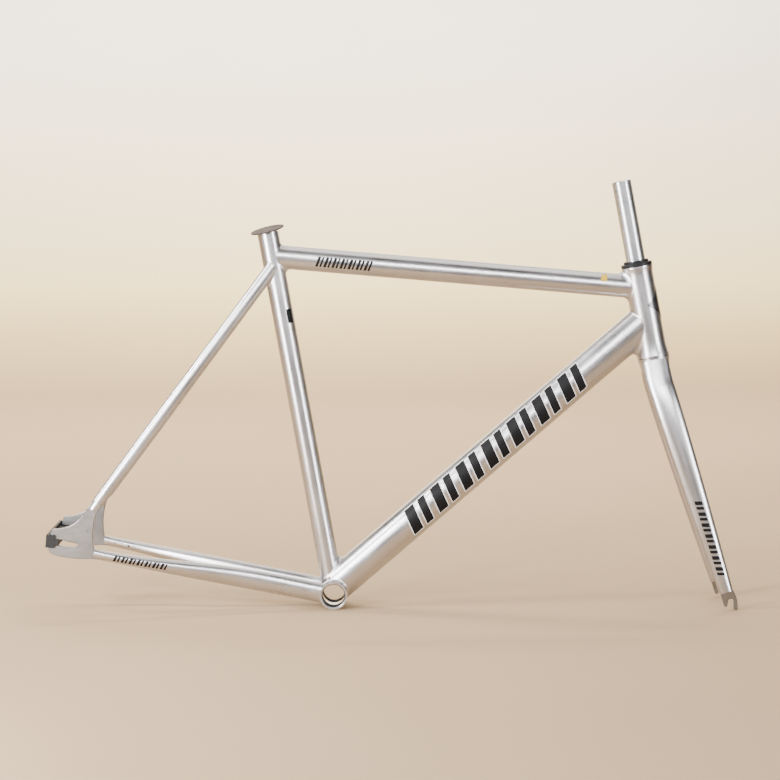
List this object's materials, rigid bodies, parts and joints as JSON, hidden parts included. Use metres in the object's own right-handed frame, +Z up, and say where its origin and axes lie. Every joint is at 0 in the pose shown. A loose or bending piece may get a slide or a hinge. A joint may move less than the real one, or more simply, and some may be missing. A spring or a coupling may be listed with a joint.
{
  "type": "track bicycle frameset",
  "caption": "Welded aluminium track frame with horizontal rear dropouts, a straight-bladed threadless fork in an integrated headset, a seat tube plug and a dropout spacer.",
  "frame": {"origin": "centre of the bottom bracket shell", "axes": "+X forwards, +Z up, drive side towards -Y; it stands on the bottom bracket shell and on the toes of the fork ends"},
  "size_m": [1.0257, 0.1468, 0.6379],
  "materials": {
    "aluminium": "brushed, clear coated",
    "weld": "smoothed weld, clear coated",
    "shell": "turned",
    "steerer": "turned, plain",
    "bearing_steel": "ground",
    "cage_steel": "pressed sheet",
    "seal_rubber": "matt",
    "black_anodised": "black anodised",
    "ring_alloy": "turned",
    "plug_plastic": "brown-grey moulded plastic",
    "spacer_plastic": "black moulded plastic"
  },
  "bodies": {
    "frame": {"head_tube": "aluminium", "top_tube": "aluminium", "down_tube": "aluminium", "seat_tube": "aluminium", "bottom_bracket_shell": "shell", "chainstay_right": "aluminium", "chainstay_left": "aluminium", "seatstay_right": "aluminium", "seatstay_left": "aluminium", "rear_dropout_right": "aluminium", "rear_dropout_left": "aluminium", "seatstay_bridge": "aluminium", "chainstay_bridge": "aluminium", "head_tube_welds": "weld", "top_tube_rear_weld": "weld", "seatstay_welds": "weld", "down_tube_shell_weld": "weld", "seat_tube_foot_weld": "weld", "lower_bearing_outer_race": "bearing_steel", "upper_bearing_outer_race": "bearing_steel", "lower_bearing_seals": "seal_rubber", "upper_bearing_seals": "seal_rubber"},
    "fork": {"fork_crown": "aluminium", "steerer_tube": "steerer", "fork_blade_right": "aluminium", "fork_blade_left": "aluminium", "fork_end_right": "aluminium", "fork_end_left": "aluminium", "crown_race": "bearing_steel", "lower_bearing_inner_race": "bearing_steel", "upper_bearing_inner_race": "bearing_steel", "compression_ring": "ring_alloy", "headset_cover": "black_anodised", "cover_o_ring": "seal_rubber"},
    "lower_ball_train": {"lower_bearing_balls": "bearing_steel", "lower_bearing_cage": "cage_steel"},
    "upper_ball_train": {"upper_bearing_balls": "bearing_steel", "upper_bearing_cage": "cage_steel"},
    "seat_tube_plug": {"seat_tube_plug": "plug_plastic"},
    "dropout_spacer": {"dropout_spacer": "spacer_plastic"}
  },
  "joints": [
    {"name": "steering", "type": "hinge", "parent": "frame", "child": "fork", "pos_m": [0.48079, 0, 0.35352], "axis": [-0.1806, 0, 0.9836], "continuous": true},
    {"name": "lower_balls_turn", "type": "hinge", "parent": "frame", "child": "lower_ball_train", "pos_m": [0.48079, 0, 0.35352], "axis": [-0.1806, 0, 0.9836], "continuous": true},
    {"name": "upper_balls_turn", "type": "hinge", "parent": "frame", "child": "upper_ball_train", "pos_m": [0.48079, 0, 0.35352], "axis": [-0.1806, 0, 0.9836], "continuous": true},
    {"name": "plug_lift", "type": "slide", "parent": "frame", "child": "seat_tube_plug", "axis": [-0.1686, 0, 0.9857], "range_m": [0, 0.3]},
    {"name": "spacer_slide", "type": "slide", "parent": "frame", "child": "dropout_spacer", "axis": [-0.9951, 0, 0.0992], "range_m": [0, 0.06]}
  ],
  "couplings": [
    {"joint": "lower_balls_turn", "follows": "steering", "ratio": 0.4558},
    {"joint": "upper_balls_turn", "follows": "steering", "ratio": 0.4558}
  ]
}
